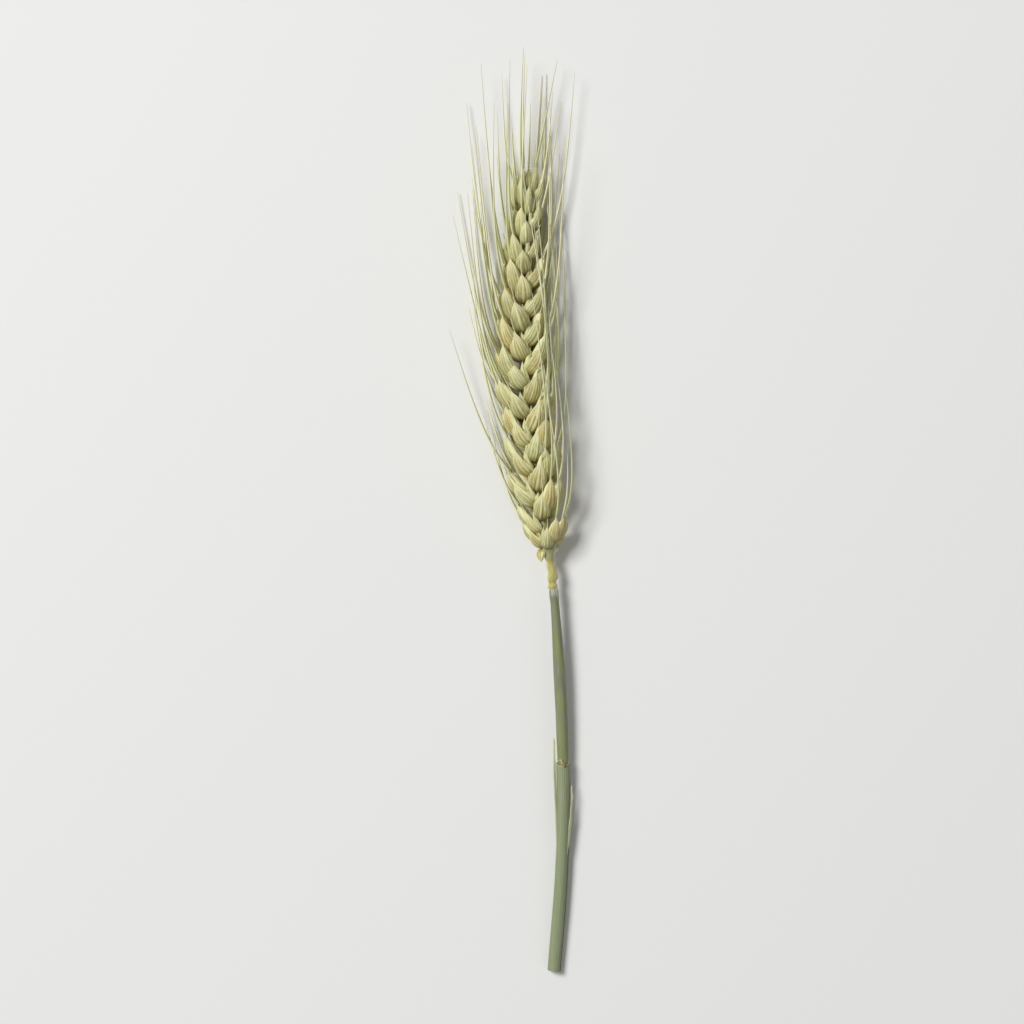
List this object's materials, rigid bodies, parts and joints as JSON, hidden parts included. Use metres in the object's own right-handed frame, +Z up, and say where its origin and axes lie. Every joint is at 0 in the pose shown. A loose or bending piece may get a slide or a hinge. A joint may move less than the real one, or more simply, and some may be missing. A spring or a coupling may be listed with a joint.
{
  "type": "wheat ear",
  "caption": "Dried bearded wheat ear on its cut straw stem with a leaf sheath, lying down, for arrangements and harvest scenes.",
  "frame": {"origin": "on the surface that it lies on, under the middle of its box", "axes": "+X along the stalk from the cut end to the awn tips, +Z up"},
  "size_m": [0.2199, 0.0298, 0.0158],
  "materials": {
    "ear": "dry matt green-gold chaff",
    "stem": "satin grey-green straw",
    "leaf_sheath": "dull pale green dried leaf"
  },
  "bodies": {
    "root": {"ear": "ear", "stem": "stem", "leaf_sheath": "leaf_sheath"}
  },
  "joints": []
}
